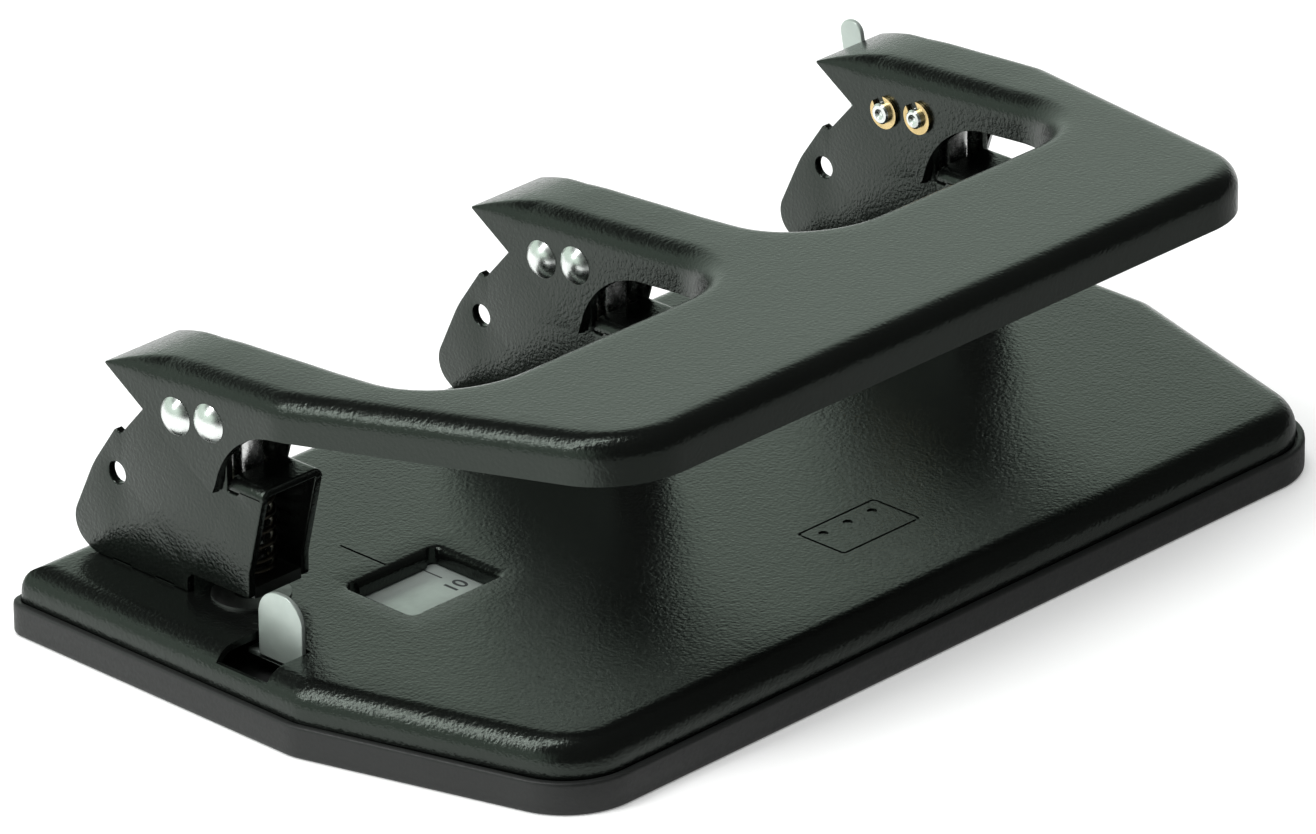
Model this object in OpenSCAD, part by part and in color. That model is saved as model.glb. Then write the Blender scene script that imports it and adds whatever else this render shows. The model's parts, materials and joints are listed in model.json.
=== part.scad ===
// Heavy-duty three-hole paper punch.
// Pressed-steel deck on a rubber pan, three punch heads along the back,
// one pressed-steel handle over all three. Millimetres, +Z up, +X along
// the length, +Y to the back. Origin at the bottom centre of the base.

/* [Base] */
// Length of the base at the back
base_w = 268.4; // [220:0.2:330]
// Length of the base at the front edge
base_front_w = 230; // [180:1:300]
// Depth of the base, front to back
base_d = 151.6; // [120:0.2:200]
// Where the sides start to taper, from the middle of the base
bend_y = -10.5; // [-40:0.5:20]
// Height of the rubber pan's outer wall
pan_h = 7.4; // [5:0.2:14]
// Height of the deck's flat top above the table
deck_z = 15.5; // [13:0.5:24]
// Thickness of the deck's sheet
deck_t = 1.6; // [1:0.1:2.5]
// Radius of the deck's rounded top edge
deck_r = 6; // [4:0.5:8]

/* [Punch heads] */
// Spacing of the three punched holes
head_pitch = 107.95; // [80:0.05:112]
// Diameter of the punched hole
hole_d = 7.1; // [5:0.1:8]
// Outer width of each head's steel bracket
head_w = 17.5; // [16:0.5:22]
// Thickness of the bracket's sheet
head_t = 2; // [1.5:0.1:2.5]
// Distance of the punch axes behind the middle of the base
punch_y = 28; // [20:0.5:34]
// Height of the slot the paper slides into
throat_h = 4.5; // [3.5:0.1:6]
// Depth of the paper behind the punch axis
paper_back = 10; // [8:0.5:13]

/* [Handle] */
// How far the handle turns when it is pressed, degrees
handle_turn = 26.5; // [15:0.5:26.5]
// Thickness of the handle's sheet
handle_t = 1.5; // [1:0.1:1.8]
// Length of the handle at its front edge
handle_front_w = 193; // [150:0.2:230]
// Where the handle's front edge is, from the middle of the base
handle_front_y = -72.6; // [-74:0.2:-50]
// Where the back of the handle's front bar is
bar_back_y = -21; // [-30:0.5:-10]

/* [Pins and springs] */
// Diameter of the three pivot pins
pivot_d = 4.8; // [4:0.1:6]
// Diameter of the three drive pins
drive_d = 4.4; // [3.5:0.1:5]
// Diameter of the pins' domed heads
pin_head_d = 8.6; // [7:0.1:9]
// Wire diameter of the return springs
wire_d = 1.3; // [0.8:0.1:1.6]
// Mean coil diameter of the return springs
coil_d = 10.2; // [9.5:0.1:11]

/* [Paper guide and lock] */
// How far the paper guide slides outwards
guide_travel = 10; // [4:0.5:10]
// Width of the paper guide's upright tab
tab_w = 13; // [8:0.5:16]
// Height of the tab's rounded top above the table
tab_top_z = 26.6; // [22:0.2:36]
// Length of the lock lever, pivot to top
lock_len = 30.2; // [26:0.2:32]

/* [Fits] */
// Gap between parts that move past each other
run_gap = 0.45; // [0.3:0.05:0.5]
// Gap all round a pin that turns in its hole
pin_gap = 0.05; // [0.03:0.01:0.1]
// Gap round parts that sit in each other and do not move
seat_gap = 0.1; // [0.05:0.05:0.2]

/* [Hidden] */
heads = [-head_pitch, 0, head_pitch];
hw = base_w / 2;
fw = base_front_w / 2;
hd = base_d / 2;
lip = 1.8;
rear_r = 4;
front_r = 18;
bend_r = 12;
floor_t = 1.6;
seat_z = pan_h - 0.5;
deck_under_z = deck_z - deck_t;

// head bracket, seen from the side
throat_z = deck_z + throat_h;
web_t = head_t;
web_z = deck_z + 30.9;
web_under_z = web_z - web_t;
inner_half = head_w / 2 - head_t;
pivot_y = punch_y + 10;
pivot_z = deck_z + 41.3;
drive_z = pivot_z + 1.6;
front_low_y = punch_y - 8.6;
front_top_y = punch_y - 13.5;
fin_front_y = punch_y - 2.85;
shelf_z = drive_z - 7.4;
back_stop_y = punch_y + paper_back;
lock_y = punch_y + 30.7;
lock_z = deck_z + 21;
lock_hole_d = 5;
arc_n = 5;
tab_len = 6;
tab_ys = [back_stop_y + 7, back_stop_y + 20];
die_body_d = 12;

// the stroke the drive pin gives the punch
drive_arm = norm([pivot_y - punch_y, drive_z - pivot_z]);
drive_a0 = atan2(drive_z - pivot_z, pivot_y - punch_y);
stroke = drive_arm * (sin(drive_a0) - sin(drive_a0 - handle_turn));
die_rise = 0.5;
bite = 1.2;
tip_z = deck_z + die_rise + stroke - bite;
punch_top_z = drive_z + hole_d / 2 + 0.5;
stop_gap = 0.3;
collar_t = 1.2;
collar_z = web_under_z - collar_t - stop_gap;
guide_z0 = tip_z - 0.1;
guide_z1 = throat_z + 1.8;
collar_d = 12.4;
neck_d = hole_d - 1.5;
touch_gap = 0.05;
spring_lo_z = guide_z1 + touch_gap;
spring_hi_z = collar_z - touch_gap;
coils = 7.5;

// handle
arm_half = head_w / 2 + run_gap + handle_t;
arm_inner = arm_half - handle_t;
slope = 5.08;
kink_y = 8.5;
kink_x = head_pitch + arm_half;
arm_end = 20;
arm_tip = [pivot_y + 21.35, pivot_z + 5.9];
leg_tip = [pivot_y - 9.85, pivot_z - 14.2];
arch_y = pivot_y - 31.45;
arch_z = pivot_z - 16.8;
arch_r = 20.6;
low_z0 = arch_z + arch_r;
top_z0 = pivot_z + 13.6;
top_y0 = pivot_y - 29.5;
edge_r = 5.5;
flare = 3.2;
roof_drop = 3.9;
low_slope = 4.6;
cut_r = 19;
corner_r = 20;
clip_t = 0.8;
clip_d = 7.6;
pin_tail = 2.2;
pin_reach = arm_half + pin_tail;
dome_h = 2.1;
groove_d = pivot_d - 1.4;
groove_drive_d = drive_d - 1.2;

// window, notch and paper guide
win_x0 = -92.5;
win_x1 = -66;
win_y0 = -3.85;
win_y1 = 15.35;
flange_drop = 2.3;
strip_t = 1.2;
strip_top_z = deck_under_z - flange_drop - 0.3;
strip_y0 = -1.6;
strip_y1 = 16.6;
tab_t = 1.2;
tab_x = -head_pitch - 12.25;
tab_y0 = 0.1;
strip_x1 = win_x1 + guide_travel + 8;
notch_y0 = tab_y0 - 1;
notch_y1 = tab_y0 + tab_w + 1;
notch_x1 = tab_x + tab_t + 0.4;
notch_floor_z = deck_z - 3;
strap_w = 8;
strap_t = 0.8;
strap_xs = [-98.4, -60];

// lock lever
lock_t = 1.2;
lock_w = 6.4;
lock_lean = 10.2;
lock_x0 = head_pitch + inner_half - 0.3 - lock_t;
lock_rivet_d = lock_hole_d - 0.2;

function unit(v) = v / norm(v);
function arc_pts(c, r, a0, da, n) =
  [for (k = [0:n]) c + r * [cos(a0 + da * k / n), sin(a0 + da * k / n)]];
function wrap(a) = a > 180 ? a - 360 : (a < -180 ? a + 360 : a);
function corner(a, p, b, r, n) =
  let (
    u = unit(a - p),
    v = unit(b - p),
    half = acos(max(-1, min(1, u * v))) / 2,
    c = p + unit(u + v) * r / sin(half),
    s = p + u * r / tan(half),
    e = p + v * r / tan(half),
    a0 = atan2(s[1] - c[1], s[0] - c[0]),
    a1 = atan2(e[1] - c[1], e[0] - c[0])
  )
  arc_pts(c, r, a0, wrap(a1 - a0), max(2, round(n * abs(wrap(a1 - a0)) / 90)));
// polygon with a radius at each corner; points are [x, y, r], n steps a quarter turn
function rounded(p, n) =
  [for (i = [0:len(p) - 1])
    let (
      q = [p[i][0], p[i][1]],
      a = p[(i + len(p) - 1) % len(p)],
      b = p[(i + 1) % len(p)]
    )
    each (p[i][2] > 0 ? corner([a[0], a[1]], q, [b[0], b[1]], p[i][2], n) : [q])];

// the outline's points are kept to a hundredth, so its faces meet exactly
function snap(v) = round(v * 100) / 100;
function base_pts(inset) = [for (p = rounded([
  [-(hw - inset), hd - inset, max(1, rear_r - inset)],
  [hw - inset, hd - inset, max(1, rear_r - inset)],
  [hw - inset, bend_y, bend_r],
  [fw - inset, -(hd - inset), front_r - inset],
  [-(fw - inset), -(hd - inset), front_r - inset],
  [-(hw - inset), bend_y, bend_r]
], 8)) [snap(p[0]), snap(p[1])]];

function line_z(z0, y0, y) = z0 + (y0 - y) * tan(slope);

// crown of an arm: height of the top skin along the arm
crown = [
  [arm_tip[0], arm_tip[1]],
  [pivot_y + 16.5, pivot_z + 7.9],
  [pivot_y + 10.5, pivot_z + 9.9],
  [pivot_y + 4.5, pivot_z + 11.1],
  [pivot_y - 1.5, pivot_z + 11.8],
  [pivot_y - 9.5, pivot_z + 12.3],
  [pivot_y - 19.5, pivot_z + 13],
  [top_y0, top_z0]
];
arm_join_y = kink_y + 2;
function crown_pts(drop, fade) = [for (p = crown) [p[0], p[1] - drop * min(1, (arm_tip[0] - p[0]) / fade)]];

module side_plate(pts, x0, t) {
  translate([x0, 0, 0])
    rotate([90, 0, 90])
      linear_extrude(t)
        polygon(pts);
}

module bar_x(y, z, d, x0, x1) {
  translate([x0, y, z])
    rotate([0, 90, 0])
      cylinder(h = x1 - x0, d = d, $fn = 48);
}

module base_shell(inset, top, r) {
  hull() {
    translate([0, 0, seat_z])
      linear_extrude(0.1)
        polygon(base_pts(inset));
    for (a = [0:18:90])
      translate([0, 0, top - r + r * sin(a) - 0.1])
        linear_extrude(0.1)
          polygon(base_pts(inset + r * (1 - cos(a))));
  }
}

// rubber pan that wraps the bottom and catches the chips
module rubber_pan() {
  color("#2b2b2b")
    difference() {
      union() {
        linear_extrude(pan_h)
          polygon(base_pts(0));
        linear_extrude(pan_h + 2)
          polygon(base_pts(lip + deck_t + seat_gap));
      }
      translate([0, 0, floor_t])
        linear_extrude(pan_h + 4)
          polygon(base_pts(lip + deck_t + seat_gap + 1.8));
      translate([0, 0, seat_z])
        linear_extrude(pan_h)
          difference() {
            polygon(base_pts(lip - seat_gap));
            polygon(base_pts(lip + deck_t + seat_gap));
          }
    }
}

module window_cut(x0, x1, y0, y1, z0, z1) {
  translate([x0, y0, z0])
    cube([x1 - x0, y1 - y0, z1 - z0]);
}

module emblem() {
  translate([2, -43, deck_z - 0.4])
    linear_extrude(1)
      union() {
        difference() {
          square([24, 14], center = true);
          square([22.8, 12.8], center = true);
        }
        for (i = [-1:1])
          translate([i * 7.5, 3.4])
            circle(d = 2.2, $fn = 24);
      }
}

// pressed-steel deck
module deck() {
  relief_d = 3.4;
  inner_r = deck_r - deck_t;
  color("#1c1d1d")
    difference() {
      union() {
        difference() {
          base_shell(lip, deck_z, deck_r);
          // the hollow steps in under the rounded shoulder
          for (a = [0:18:72])
            linear_extrude(deck_under_z - inner_r * (1 - sin(a + 18)))
              polygon(base_pts(lip + deck_t + inner_r * (1 - cos(a))));
        }
        window_cut(win_x0 - deck_t, win_x1 + deck_t, win_y0 - deck_t, win_y1 + deck_t,
          deck_under_z - flange_drop, deck_under_z + 0.1);
      }
      window_cut(win_x0, win_x1, win_y0, win_y1, 0, deck_z + 1);
      for (x = [win_x0, win_x1])
        for (y = [win_y0, win_y1])
          translate([x, y, 0])
            cylinder(h = deck_z + 1, d = relief_d, $fn = 24);
      window_cut(-hw - 1, notch_x1, notch_y0, notch_y1, notch_floor_z, deck_z + 1);
      window_cut(tab_x - guide_travel - run_gap, notch_x1, notch_y0, notch_y1, 0, deck_z + 1);
      for (x = heads) {
        translate([x, punch_y, 0])
          cylinder(h = deck_z + 1, d = die_body_d, $fn = 64);
        for (s = [-1, 1])
          for (y = tab_ys)
            translate([x + s * (head_w / 2 - head_t / 2), y, deck_z - 3])
              cube([head_t + 2 * seat_gap, tab_len + 2 * seat_gap, 8], center = true);
      }
      translate([(win_x0 + win_x1) / 2 - 0.3, win_y1, deck_z - 0.5])
        cube([0.6, 15.5, 1]);
      emblem();
    }
}

// steel bracket of one punch head: two cheeks joined by a web in front
cheek_pts = rounded([
  [front_low_y, throat_z, 0.6],
  [front_low_y - 0.1, throat_z + 5.2, 3],
  [front_top_y, web_under_z, 0.8],
  [front_top_y + 7, web_under_z, 0],
  [front_top_y + 7.4, web_under_z - 1.3, 0.4],
  [fin_front_y, web_under_z - 1.3, 0.6],
  [fin_front_y, shelf_z, 0.8],
  [punch_y + 3.2, shelf_z, 1.2],
  [pivot_y - 6.6, pivot_z + 5, 5],
  [pivot_y + 4, pivot_z + 6.6, 5],
  [pivot_y + 19.4, pivot_z - 11, 0.8],
  [pivot_y + 20.7, pivot_z - 9.6, 0.8],
  [pivot_y + 28.2, deck_z + 21, 30],
  [pivot_y + 36, deck_z + 4.6, 6],
  [pivot_y + 29, deck_z, 7],
  [back_stop_y, deck_z, 0],
  [back_stop_y, throat_z, 2]
], arc_n);

module head(x) {
  half = head_w / 2;
  color("#1c1d1d")
    translate([x, 0, 0])
      difference() {
        union() {
          for (s = [-half, inner_half])
            side_plate(cheek_pts, s, head_t);
          for (s = [-half, inner_half])
            for (y = tab_ys)
              translate([s, y - tab_len / 2, deck_under_z - 1])
                cube([head_t, tab_len, deck_t + 2]);
          web_bend();
          translate([-inner_half + 0.9, front_top_y + 6, web_under_z])
            cube([2 * (inner_half - 0.9), 14, web_t]);
        }
        translate([0, punch_y, throat_z])
          cylinder(h = 40, d = hole_d + 2 * pin_gap, $fn = 64);
        bar_x(pivot_y, pivot_z, pivot_d + 2 * pin_gap, -half - 1, half + 1);
        bar_x(lock_y, lock_z, lock_hole_d, -half - 1, half + 1);
      }
}

module web_bend() {
  half = head_w / 2;
  r = 2.6;
  translate([0, front_top_y + 10, 0])
    rotate([90, 0, 0])
      linear_extrude(10)
        difference() {
          polygon(rounded([
            [-half, web_under_z - 0.6, 0],
            [half, web_under_z - 0.6, 0],
            [half, web_z, r],
            [-half, web_z, r]
          ], 6));
          translate([-inner_half, web_under_z - 2])
            square([2 * inner_half, 2]);
        }
}

module head_left() { head(heads[0]); }
module head_middle() { head(heads[1]); }
module head_right() { head(heads[2]); }

// plate between the cheeks that guides the punch just above the paper
module guide_plate(x) {
  color("#3a3c3c")
    difference() {
      translate([x - inner_half, front_low_y + 0.4, guide_z0])
        cube([2 * inner_half, back_stop_y - front_low_y + 3, guide_z1 - guide_z0]);
      translate([x, punch_y, throat_z - 1])
        cylinder(h = 10, d = hole_d + 2 * pin_gap, $fn = 64);
    }
}

module guide_plate_left() { guide_plate(heads[0]); }
module guide_plate_middle() { guide_plate(heads[1]); }
module guide_plate_right() { guide_plate(heads[2]); }

// hardened die pressed into the deck under each punch
module die(x) {
  flange_d = 17;
  color("#55585a")
    translate([x, punch_y, 0])
      difference() {
        union() {
          translate([0, 0, deck_z])
            cylinder(h = die_rise, d = flange_d, $fn = 64);
          translate([0, 0, deck_under_z - 1.4])
            cylinder(h = deck_t + 1.5, d = die_body_d, $fn = 64);
        }
        translate([0, 0, deck_z - 1.5])
          cylinder(h = 3, d = hole_d + 2 * pin_gap, $fn = 64);
        translate([0, 0, deck_under_z - 2])
          cylinder(h = 2.2, d = hole_d + 1.4, $fn = 64);
      }
}

module die_left() { die(heads[0]); }
module die_middle() { die(heads[1]); }
module die_right() { die(heads[2]); }

// punch: ground steel rod with an eye for the drive pin and a notched tip
module punch(x) {
  eye_d = drive_d + 2 * pin_gap;
  eye_play = 0.5;
  color("#c9ccd0")
    difference() {
      union() {
        translate([x, punch_y, tip_z])
          cylinder(h = collar_z - tip_z, d = hole_d, $fn = 64);
        translate([x, punch_y, collar_z])
          cylinder(h = collar_t, d = neck_d, $fn = 64);
        translate([x, punch_y, collar_z + collar_t])
          cylinder(h = punch_top_z - collar_z - collar_t, d = hole_d, $fn = 64);
      }
      bar_x(punch_y - eye_play, drive_z, eye_d, x - hole_d, x + hole_d);
      bar_x(punch_y + eye_play, drive_z, eye_d, x - hole_d, x + hole_d);
      translate([x - hole_d, punch_y - eye_play, drive_z - eye_d / 2])
        cube([2 * hole_d, 2 * eye_play, eye_d]);
      translate([x, punch_y - hole_d, tip_z - 1.4])
        rotate([-90, 45, 0])
          translate([-1.4, -1.4, 0])
            cube([2.8, 2.8, 2 * hole_d]);
    }
}

module punch_left() { punch(heads[0]); }
module punch_middle() { punch(heads[1]); }
module punch_right() { punch(heads[2]); }

// snap ring in the punch's groove; the spring pushes up under it
module collar(x) {
  color("#b9923e")
    translate([x, punch_y, collar_z])
      difference() {
        cylinder(h = collar_t, d = collar_d, $fn = 64);
        translate([0, 0, -1])
          cylinder(h = collar_t + 2, d = neck_d, $fn = 64);
        translate([-neck_d / 2, -collar_d, -1])
          cube([neck_d, collar_d, collar_t + 2]);
      }
}

module collar_left() { collar(heads[0]); }
module collar_middle() { collar(heads[1]); }
module collar_right() { collar(heads[2]); }

// compression spring round the punch
module spring(x) {
  steps = 18;
  n = coils * steps;
  rise = spring_hi_z - spring_lo_z - wire_d;
  wire = [for (k = [0:7]) wire_d / 2 * [cos(k * 45), sin(k * 45)]];
  pts = [for (i = [0:n])
    let (
      a = 360 * coils * i / n,
      f = i / n,
      z = spring_lo_z + wire_d / 2 + rise * f
    )
    for (w = wire)
      [(coil_d / 2 + w[0]) * cos(a), (coil_d / 2 + w[0]) * sin(a), z + w[1]]];
  color("#b9923e")
    translate([x, punch_y, 0])
      polyhedron(
        points = pts,
        faces = concat(
          [[for (k = [0:7]) k]],
          [[for (k = [7:-1:0]) n * 8 + k]],
          [for (i = [0:n - 1])
            for (k = [0:7])
              [i * 8 + k, (i + 1) * 8 + k, (i + 1) * 8 + (k + 1) % 8, i * 8 + (k + 1) % 8]]
        )
      );
}

module spring_left() { spring(heads[0]); }
module spring_middle() { spring(heads[1]); }
module spring_right() { spring(heads[2]); }

module arm_blank(x) {
  hull()
    for (a = [0:22.5:90]) {
      drop = edge_r * (1 - sin(a));
      half = arm_half - edge_r * (1 - cos(a));
      pts = concat(
        crown_pts(drop, 14),
        [[arm_join_y, line_z(top_z0, top_y0, arm_join_y) - drop],
         [arm_join_y, low_z0],
         leg_tip]
      );
      side_plate(pts, x - half, 2 * half);
    }
}

module bar_blank() {
  hull()
    for (a = [0:22.5:90]) {
      inset = edge_r * (1 - cos(a));
      pts = rounded([
        [-(kink_x - inset), kink_y + 4, 0],
        [-(kink_x - inset), kink_y, 0],
        [-(handle_front_w / 2 - inset), handle_front_y + inset, corner_r - inset],
        [handle_front_w / 2 - inset, handle_front_y + inset, corner_r - inset],
        [kink_x - inset, kink_y, 0],
        [kink_x - inset, kink_y + 4, 0]
      ], 8);
      translate([0, 0, line_z(top_z0, top_y0, 0) - bar_h])
        tilt()
          linear_extrude(bar_h - edge_r * (1 - sin(a)))
            polygon(pts);
    }
}

bar_h = 14;

module tilt() {
  multmatrix([[1, 0, 0, 0], [0, 1, 0, 0], [0, -tan(slope), 1, 0], [0, 0, 0, 1]])
    children();
}

// opening between two arms
function gap_pts(x0, x1, grow) = rounded([
  [x0 - grow, bar_back_y - grow, cut_r],
  [x1 + grow, bar_back_y - grow, cut_r],
  [x1 + grow, arm_tip[0] + arm_end, 0],
  [x0 - grow, arm_tip[0] + arm_end, 0]
], 10);

// everything below the flange's lower edge
under_pts = concat(
  [[leg_tip[0] + 0.2, leg_tip[1] - arm_end], [leg_tip[0], leg_tip[1] - 0.1]],
  arc_pts([arch_y, arch_z], arch_r, 8, 82, 10),
  [[handle_front_y - arm_end, low_z0 + (arch_y - handle_front_y + arm_end) * tan(low_slope)],
   [handle_front_y - arm_end, leg_tip[1] - arm_end]]
);

module handle_skin(inset) {
  tilt()
    linear_extrude(200, center = true)
      difference() {
        polygon(rounded([
          [-(kink_x - inset), arm_tip[0] + arm_end, 0],
          [-(kink_x - inset), kink_y, 0],
          [-(handle_front_w / 2 - inset), handle_front_y + inset, corner_r - inset],
          [handle_front_w / 2 - inset, handle_front_y + inset, corner_r - inset],
          [kink_x - inset, kink_y, 0],
          [kink_x - inset, arm_tip[0] + arm_end, 0]
        ], 8));
        for (s = [0, 1])
          polygon(gap_pts(
            heads[s] + arm_half,
            heads[s + 1] - arm_half,
            inset));
      }
}

// rounded top edge round the opening between two arms
module gap_flare(x0, x1) {
  translate([0, 0, line_z(top_z0, top_y0, 0)])
    tilt()
      hull() {
        translate([0, 0, -flare])
          linear_extrude(0.01)
            polygon(gap_pts(x0, x1, 0));
        translate([0, 0, 1])
          linear_extrude(0.01)
            polygon(gap_pts(x0, x1, flare + 1));
      }
}

module hollow(inset, roof) {
  intersection() {
    handle_skin(inset);
    translate([-kink_x, 0, 0])
      rotate([90, 0, 90])
        linear_extrude(2 * kink_x)
          polygon(concat(
            [[arm_tip[0] + 10, arm_tip[1] - roof - 3.5]],
            [for (p = crown) [p[0], p[1] - roof]],
            [[handle_front_y - 5, line_z(top_z0, top_y0, handle_front_y - 5) - roof],
             [handle_front_y - 5, 0],
             [arm_tip[0] + 10, 0]]
          ));
  }
}

// one pressed-steel handle: three arms and a front bar
module handle() {
  color("#1c1d1d")
    difference() {
      union() {
        for (x = heads)
          arm_blank(x);
        bar_blank();
      }
      for (s = [0, 1]) {
        translate([0, 0, -50])
          linear_extrude(200)
            polygon(gap_pts(heads[s] + arm_half, heads[s + 1] - arm_half, 0));
        gap_flare(heads[s] + arm_half, heads[s + 1] - arm_half);
      }
      side_plate(under_pts, -kink_x - 5, 2 * kink_x + 10);
      hollow(handle_t, roof_drop);
      hollow(handle_t + 2.4, handle_t);
      bar_x(pivot_y, pivot_z, pivot_d + 2 * pin_gap, -kink_x - 5, kink_x + 5);
      bar_x(punch_y, drive_z, drive_d + 2 * pin_gap, -kink_x - 5, kink_x + 5);
    }
}

// pin with a domed head on one side and a clip groove on the other
module pin(x, s, y, z, d, gd) {
  head_r = (pow(pin_head_d / 2, 2) + pow(dome_h, 2)) / (2 * dome_h);
  clip_x = arm_half + 0.1;
  color("#c9ccd0")
    translate([x, y, z])
      rotate([0, s > 0 ? 90 : -90, 0])
        union() {
          translate([0, 0, -arm_half - touch_gap])
            cylinder(h = arm_half + touch_gap + clip_x, d = d, $fn = 48);
          translate([0, 0, clip_x])
            cylinder(h = clip_t, d = gd, $fn = 48);
          translate([0, 0, clip_x + clip_t])
            cylinder(h = pin_tail - clip_t - 0.1, d = d, $fn = 48);
          translate([0, 0, -arm_half - touch_gap])
            intersection() {
              translate([0, 0, head_r - dome_h])
                sphere(r = head_r, $fn = 64);
              translate([0, 0, -dome_h - 1])
                cylinder(h = dome_h + 1, d = pin_head_d, $fn = 64);
            }
        }
}

module pivot_pin_left() { pin(heads[0], 1, pivot_y, pivot_z, pivot_d, groove_d); }
module pivot_pin_middle() { pin(heads[1], 1, pivot_y, pivot_z, pivot_d, groove_d); }
module pivot_pin_right() { pin(heads[2], -1, pivot_y, pivot_z, pivot_d, groove_d); }
module drive_pin_left() { pin(heads[0], 1, punch_y, drive_z, drive_d, groove_drive_d); }
module drive_pin_middle() { pin(heads[1], 1, punch_y, drive_z, drive_d, groove_drive_d); }
module drive_pin_right() { pin(heads[2], -1, punch_y, drive_z, drive_d, groove_drive_d); }

module clip(x, s, y, z, gd) {
  translate([x, y, z])
    rotate([0, s > 0 ? 90 : -90, 0])
      translate([0, 0, arm_half + 0.1])
        difference() {
          cylinder(h = clip_t, d = clip_d, $fn = 48);
          translate([0, 0, -1])
            cylinder(h = clip_t + 2, d = gd, $fn = 48);
          rotate([0, 0, -60])
            translate([-gd / 2, 0, -1])
              cube([gd, clip_d, clip_t + 2]);
        }
}

// spring-steel clips that hold the pins
module pin_clips() {
  color("#b9923e")
    for (i = [0:2]) {
      clip(heads[i], i < 2 ? 1 : -1, pivot_y, pivot_z, groove_d);
      clip(heads[i], i < 2 ? 1 : -1, punch_y, drive_z, groove_drive_d);
    }
}

// sliding paper guide: flat strip under the deck with an upright tab
module paper_guide() {
  side = 6;
  color("#c4c8c6")
    union() {
      translate([tab_x, strip_y0, strip_top_z - strip_t])
        cube([strip_x1 - tab_x, strip_y1 - strip_y0, strip_t]);
      translate([tab_x, 0, 0])
        rotate([90, 0, 90])
          linear_extrude(tab_t)
            polygon(rounded([
              [tab_y0, strip_top_z - strip_t, 0],
              [tab_y0 + tab_w, strip_top_z - strip_t, 0],
              [tab_y0 + tab_w, tab_top_z, side],
              [tab_y0, tab_top_z, side]
            ], 10));
    }
}

// two straps under the deck that carry the paper guide
module guide_straps() {
  gap = 0.3;
  foot = 6;
  color("#8a8d8f")
    for (x = strap_xs)
      translate([x - strap_w / 2, 0, 0]) {
        translate([0, strip_y0 - gap - strap_t, strip_top_z - strip_t - gap - strap_t])
          cube([strap_w, strip_y1 - strip_y0 + 2 * (gap + strap_t), strap_t]);
        for (y = [strip_y0 - gap - strap_t, strip_y1 + gap])
          translate([0, y, strip_top_z - strip_t - gap - strap_t])
            cube([strap_w, strap_t, deck_under_z - strip_top_z + strip_t + gap + strap_t]);
        for (y = [strip_y0 - gap - foot, strip_y1 + gap])
          translate([0, y, deck_under_z - strap_t])
            cube([strap_w, foot, strap_t]);
      }
}

// lever that drops under the right arm's skin to hold the handle down
module lock_lever() {
  color("#c4c8c6")
    translate([lock_x0, lock_y, lock_z])
      rotate([-lock_lean, 0, 0])
        rotate([90, 0, 90])
          difference() {
            linear_extrude(lock_t)
              polygon(rounded([
                [-lock_w / 2, -lock_w / 2, 3],
                [lock_w / 2, -lock_w / 2, 3],
                [lock_w / 2, lock_len, 3],
                [-lock_w / 2, lock_len, 3]
              ], 8));
            translate([0, 0, -1])
              cylinder(h = lock_t + 2, d = lock_rivet_d + 2 * pin_gap, $fn = 48);
          }
}

// shouldered rivet the lock lever turns on
module lock_rivet() {
  x1 = head_pitch + head_w / 2;
  color("#c9ccd0") {
    bar_x(lock_y, lock_z, lock_rivet_d, lock_x0 - 0.3, x1);
    bar_x(lock_y, lock_z, lock_rivet_d + 2.4, x1, x1 + 1);
    bar_x(lock_y, lock_z, lock_rivet_d + 2.4, lock_x0 - 1.3, lock_x0 - 0.3);
  }
}

rubber_pan();
deck();
head_left();
head_middle();
head_right();
guide_plate_left();
guide_plate_middle();
guide_plate_right();
die_left();
die_middle();
die_right();
punch_left();
punch_middle();
punch_right();
collar_left();
collar_middle();
collar_right();
spring_left();
spring_middle();
spring_right();
handle();
pivot_pin_left();
pivot_pin_middle();
pivot_pin_right();
drive_pin_left();
drive_pin_middle();
drive_pin_right();
pin_clips();
paper_guide();
guide_straps();
lock_lever();
lock_rivet();
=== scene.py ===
# A heavy-duty three-hole paper punch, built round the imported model.
import bpy
import numpy as np
from mathutils import Matrix, Vector
from mathutils.geometry import delaunay_2d_cdt
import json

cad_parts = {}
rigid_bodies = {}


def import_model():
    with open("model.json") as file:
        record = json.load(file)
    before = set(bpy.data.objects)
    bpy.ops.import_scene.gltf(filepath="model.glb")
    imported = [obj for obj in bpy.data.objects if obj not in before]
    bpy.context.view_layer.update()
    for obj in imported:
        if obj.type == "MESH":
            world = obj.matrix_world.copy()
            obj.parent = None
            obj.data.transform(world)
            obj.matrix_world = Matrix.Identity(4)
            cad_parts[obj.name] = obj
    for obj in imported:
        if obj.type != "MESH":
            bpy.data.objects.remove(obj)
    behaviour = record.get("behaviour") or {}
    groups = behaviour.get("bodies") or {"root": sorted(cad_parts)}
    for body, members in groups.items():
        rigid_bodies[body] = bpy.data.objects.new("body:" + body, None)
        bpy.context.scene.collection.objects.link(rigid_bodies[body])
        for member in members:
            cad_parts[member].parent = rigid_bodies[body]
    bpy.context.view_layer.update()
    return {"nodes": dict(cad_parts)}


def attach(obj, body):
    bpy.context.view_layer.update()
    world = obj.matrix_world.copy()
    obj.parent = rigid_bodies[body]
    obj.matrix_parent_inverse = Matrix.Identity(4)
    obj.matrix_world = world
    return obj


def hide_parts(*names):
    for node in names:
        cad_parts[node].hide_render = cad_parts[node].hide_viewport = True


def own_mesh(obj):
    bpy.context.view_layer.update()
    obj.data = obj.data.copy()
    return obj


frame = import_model()
cad_nodes = frame["nodes"]

# ---------------------------------------------------------------- rubber pan
# A moulded rubber tray that snaps over the bottom of the deck. It grips the
# table and catches the paper chips. Its wall has a crisp top lip.


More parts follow.
